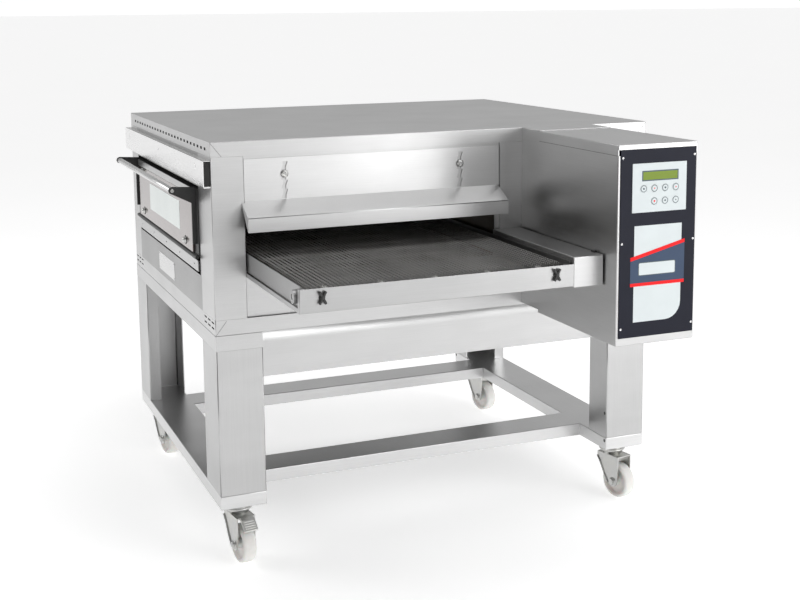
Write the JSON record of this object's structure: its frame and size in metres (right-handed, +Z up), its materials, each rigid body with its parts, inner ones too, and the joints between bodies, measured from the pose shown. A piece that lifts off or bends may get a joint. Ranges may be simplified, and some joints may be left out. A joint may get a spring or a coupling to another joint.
{
  "type": "conveyor pizza oven",
  "caption": "Stainless conveyor pizza oven with tunnel mouth shutters, mesh belt, crumb trays, glazed side door and side control box, on a stand with swivel casters.",
  "frame": {"origin": "centre of the bounding box at floor level", "axes": "+Y along the belt, from the outlet end with the control box to the inlet end; +X from the door side to the drive side; +Z up"},
  "size_m": [1.331, 1.977, 1.1085],
  "materials": {
    "stainless": "brushed, satin",
    "frame_steel": "brushed, satin",
    "liner_steel": "heat-browned",
    "belt_wire": "bright drawn wire",
    "black_paint": "satin black",
    "insulation": "matt black",
    "tinted_glass": "bronze tinted",
    "cast_metal": "cast and painted grey",
    "zinc": "zinc plated",
    "nylon": "smooth moulded",
    "navy_panel": "satin dark blue film",
    "label": "satin printed film"
  },
  "bodies": {
    "oven": {"base_tray": "stainless", "top_cover": "stainless", "outlet_end_panel": "stainless", "inlet_end_panel": "stainless", "door_side_panel": "stainless", "drive_side_panel": "stainless", "heat_shield": "stainless", "door_sill": "stainless", "conveyor_rail_left": "stainless", "conveyor_rail_right": "stainless", "chain_cover": "stainless", "control_box": "stainless", "control_cap": "stainless", "leg_front_left": "stainless", "leg_front_right": "stainless", "leg_rear_left": "stainless", "leg_rear_right": "stainless", "upper_frame": "stainless", "lower_frame": "frame_steel", "chamber_liner": "liner_steel", "upper_air_panel": "liner_steel", "lower_air_panel": "liner_steel", "mesh_belt": "belt_wire", "cable_gland": "black_paint", "shield_spacer": "insulation", "heating_element": "cast_metal", "fan_motor": "cast_metal", "gear_motor": "cast_metal", "drive_chain": "zinc", "control_panel": "navy_panel", "keypad_plate": "label"},
    "door": {"door_frame": "black_paint", "door_glass": "tinted_glass", "door_handle": "stainless"},
    "outlet_shutter": {"outlet_shutter": "stainless"},
    "inlet_shutter": {"inlet_shutter": "stainless"},
    "outlet_tray": {"outlet_crumb_tray": "stainless"},
    "inlet_tray": {"inlet_crumb_tray": "stainless"},
    "latch_left": {"tray_latch_left": "black_paint"},
    "latch_right": {"tray_latch_right": "black_paint"},
    "drive_shaft": {"drive_shaft": "zinc"},
    "idler_shaft": {"idler_shaft": "zinc"},
    "motor_wheel": {"motor_wheel": "zinc"},
    "fan": {"fan_wheel": "zinc"},
    "brake": {"brake_pedal": "zinc"},
    "fork_front_left": {"caster_fork_front_left": "zinc"},
    "wheel_front_left": {"caster_wheel_front_left": "nylon"},
    "fork_front_right": {"caster_fork_front_right": "zinc"},
    "wheel_front_right": {"caster_wheel_front_right": "nylon"},
    "fork_rear_left": {"caster_fork_rear_left": "zinc"},
    "wheel_rear_left": {"caster_wheel_rear_left": "nylon"},
    "fork_rear_right": {"caster_fork_rear_right": "zinc"},
    "wheel_rear_right": {"caster_wheel_rear_right": "nylon"},
    "key_1": {"key_1": "label"},
    "key_2": {"key_2": "label"},
    "key_3": {"key_3": "label"},
    "key_4": {"key_4": "label"},
    "key_5": {"key_5": "label"},
    "key_6": {"key_6": "label"},
    "key_7": {"key_7": "label"}
  },
  "joints": [
    {"name": "door_hinge", "type": "hinge", "parent": "oven", "child": "door", "pos_m": [-0.5995, 0.0465, 0.797], "axis": [0, -1, 0], "range_deg": [0, 90]},
    {"name": "outlet_shutter_slide", "type": "slide", "parent": "oven", "child": "outlet_shutter", "axis": [0, 0, 1], "range_m": [-0.01, 0.04]},
    {"name": "outlet_tray_slide", "type": "slide", "parent": "oven", "child": "outlet_tray", "axis": [0, -1, 0], "range_m": [0, 0.42]},
    {"name": "inlet_shutter_slide", "type": "slide", "parent": "oven", "child": "inlet_shutter", "axis": [0, 0, 1], "range_m": [-0.01, 0.04]},
    {"name": "inlet_tray_slide", "type": "slide", "parent": "oven", "child": "inlet_tray", "axis": [0, 1, 0], "range_m": [0, 0.42]},
    {"name": "latch_left_turn", "type": "hinge", "parent": "outlet_tray", "child": "latch_left", "pos_m": [-0.4565, -0.9345, 0.798], "axis": [0, -1, 0], "range_deg": [0, 90]},
    {"name": "latch_right_turn", "type": "hinge", "parent": "outlet_tray", "child": "latch_right", "pos_m": [0.1315, -0.9345, 0.798], "axis": [0, -1, 0], "range_deg": [0, 90]},
    {"name": "drive_spin", "type": "hinge", "parent": "oven", "child": "drive_shaft", "pos_m": [-0.1675, -0.8955, 0.798], "axis": [1, 0, 0], "continuous": true},
    {"name": "idler_spin", "type": "hinge", "parent": "oven", "child": "idler_shaft", "pos_m": [-0.1675, 0.9545, 0.798], "axis": [1, 0, 0], "continuous": true},
    {"name": "motor_spin", "type": "hinge", "parent": "oven", "child": "motor_wheel", "pos_m": [0.2175, -0.4205, 0.798], "axis": [1, 0, 0], "continuous": true},
    {"name": "fan_spin", "type": "hinge", "parent": "oven", "child": "fan", "pos_m": [0.2375, 0.0295, 0.86], "axis": [1, 0, 0], "continuous": true},
    {"name": "swivel_front_left", "type": "hinge", "parent": "oven", "child": "fork_front_left", "pos_m": [-0.5315, -0.4245, 0.14], "axis": [0, 0, 1], "continuous": true},
    {"name": "roll_front_left", "type": "hinge", "parent": "fork_front_left", "child": "wheel_front_left", "pos_m": [-0.52732, -0.45421, 0.051], "axis": [0.9903, 0.1392, 0], "continuous": true},
    {"name": "swivel_front_right", "type": "hinge", "parent": "oven", "child": "fork_front_right", "pos_m": [0.6045, -0.4245, 0.14], "axis": [0, 0, 1], "continuous": true},
    {"name": "roll_front_right", "type": "hinge", "parent": "fork_front_right", "child": "wheel_front_right", "pos_m": [0.61074, -0.45384, 0.051], "axis": [0.9781, 0.2079, 0], "continuous": true},
    {"name": "swivel_rear_left", "type": "hinge", "parent": "oven", "child": "fork_rear_left", "pos_m": [-0.5315, 0.4885, 0.14], "axis": [0, 0, 1], "continuous": true},
    {"name": "roll_rear_left", "type": "hinge", "parent": "fork_rear_left", "child": "wheel_rear_left", "pos_m": [-0.52629, 0.45896, 0.051], "axis": [0.9848, 0.1736, 0], "continuous": true},
    {"name": "swivel_rear_right", "type": "hinge", "parent": "oven", "child": "fork_rear_right", "pos_m": [0.6045, 0.4885, 0.14], "axis": [0, 0, 1], "continuous": true},
    {"name": "roll_rear_right", "type": "hinge", "parent": "fork_rear_right", "child": "wheel_rear_right", "pos_m": [0.61074, 0.45916, 0.051], "axis": [0.9781, 0.2079, 0], "continuous": true},
    {"name": "brake_press", "type": "hinge", "parent": "fork_front_left", "child": "brake", "pos_m": [-0.52398, -0.47797, 0.1275], "axis": [0.9903, 0.1392, 0], "range_deg": [0, 18]},
    {"name": "key_1_press", "type": "slide", "parent": "oven", "child": "key_1", "axis": [0, 1, 0], "range_m": [0, 0.0007], "stiffness_N_per_m": 800},
    {"name": "key_2_press", "type": "slide", "parent": "oven", "child": "key_2", "axis": [0, 1, 0], "range_m": [0, 0.0007], "stiffness_N_per_m": 800},
    {"name": "key_3_press", "type": "slide", "parent": "oven", "child": "key_3", "axis": [0, 1, 0], "range_m": [0, 0.0007], "stiffness_N_per_m": 800},
    {"name": "key_4_press", "type": "slide", "parent": "oven", "child": "key_4", "axis": [0, 1, 0], "range_m": [0, 0.0007], "stiffness_N_per_m": 800},
    {"name": "key_5_press", "type": "slide", "parent": "oven", "child": "key_5", "axis": [0, 1, 0], "range_m": [0, 0.0007], "stiffness_N_per_m": 800},
    {"name": "key_6_press", "type": "slide", "parent": "oven", "child": "key_6", "axis": [0, 1, 0], "range_m": [0, 0.0007], "stiffness_N_per_m": 800},
    {"name": "key_7_press", "type": "slide", "parent": "oven", "child": "key_7", "axis": [0, 1, 0], "range_m": [0, 0.0007], "stiffness_N_per_m": 800}
  ],
  "couplings": [
    {"joint": "idler_spin", "follows": "drive_spin", "ratio": 1},
    {"joint": "motor_spin", "follows": "drive_spin", "ratio": 1}
  ]
}
